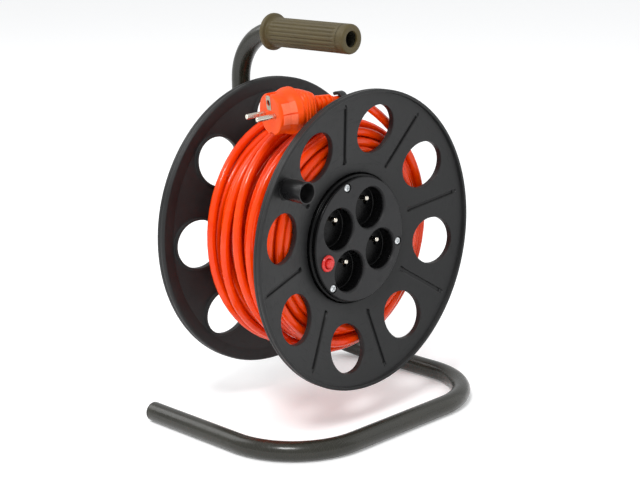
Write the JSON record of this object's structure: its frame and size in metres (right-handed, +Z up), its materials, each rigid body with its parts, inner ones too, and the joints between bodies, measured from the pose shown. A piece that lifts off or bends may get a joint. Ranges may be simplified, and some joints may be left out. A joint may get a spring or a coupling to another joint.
{
  "type": "extension cord reel",
  "caption": "Extension cord reel: a drum with a socket panel and wound orange cable turns on a stub axle of a bent tube stand with a carrying grip.",
  "frame": {"origin": "on the floor, under the middle of the object's bounding box", "axes": "+Z up, the drum turns about Y, the socket panel faces -Y and +X is to the right seen from the panel's side"},
  "size_m": [0.2964, 0.2424, 0.3837],
  "materials": {
    "painted_steel": "glossy dark olive grey paint",
    "black_plastic": "fine-grained moulded plastic, anthracite",
    "gloss_black": "glossy black moulding",
    "red_plastic": "glossy red moulding",
    "orange_rubber": "moulded orange rubber",
    "orange_cable": "smooth orange-red sheath",
    "grip_rubber": "olive brown ribbed grip",
    "steel": "turned steel",
    "zinc": "bright zinc plate",
    "nickel": "nickel-plated brass",
    "brass": "sheet brass",
    "nylon": "natural nylon"
  },
  "bodies": {
    "stand": {"frame_tube": "painted_steel", "foot_end_cap": "black_plastic", "handle_grip": "grip_rubber", "axle": "steel", "retaining_ring": "steel", "thrust_washer": "nylon", "saddle_spacer": "nylon", "nut_washer": "zinc", "axle_nut": "zinc"},
    "drum": {"front_flange": "black_plastic", "hub_cup": "black_plastic", "rear_flange": "black_plastic", "core_barrel": "black_plastic", "rear_bush": "nylon", "inner_bush": "nylon", "panel_screw_1": "zinc", "panel_screw_2": "zinc", "panel_screw_3": "zinc", "core_screw_1": "zinc", "core_screw_2": "zinc", "core_screw_3": "zinc", "core_screw_4": "zinc", "socket_panel": "black_plastic", "socket_insert_1": "gloss_black", "socket_insert_2": "gloss_black", "socket_insert_3": "gloss_black", "socket_insert_4": "gloss_black", "earth_pin_1": "nickel", "earth_pin_2": "nickel", "earth_pin_3": "nickel", "earth_pin_4": "nickel", "live_busbar": "brass", "neutral_busbar": "brass", "earth_busbar": "brass", "terminal_block": "nylon", "cutout_body": "black_plastic", "button_collar": "red_plastic", "knob_stud": "zinc", "cable_gland": "gloss_black", "plug_clip": "gloss_black", "cable_winding": "orange_cable", "cable_tail": "orange_cable", "plug_body": "orange_rubber", "plug_pin_1": "nickel", "plug_pin_2": "nickel", "plug_earth_contact": "nickel", "plug_strain_relief": "orange_rubber"},
    "knob": {"winding_knob": "black_plastic"},
    "button": {"reset_button": "red_plastic"}
  },
  "joints": [
    {"name": "drum_spin", "type": "hinge", "parent": "stand", "child": "drum", "pos_m": [0, -0.00507, 0.17915], "axis": [0, 1, 0], "continuous": true},
    {"name": "knob_spin", "type": "hinge", "parent": "drum", "child": "knob", "pos_m": [-0.10213, -0.08107, 0.24497], "axis": [0, 1, 0], "continuous": true},
    {"name": "reset_button_push", "type": "slide", "parent": "drum", "child": "button", "axis": [0, 1, 0], "range_m": [0, 0.0025], "stiffness_N_per_m": 400, "springref_m": -0.002}
  ]
}
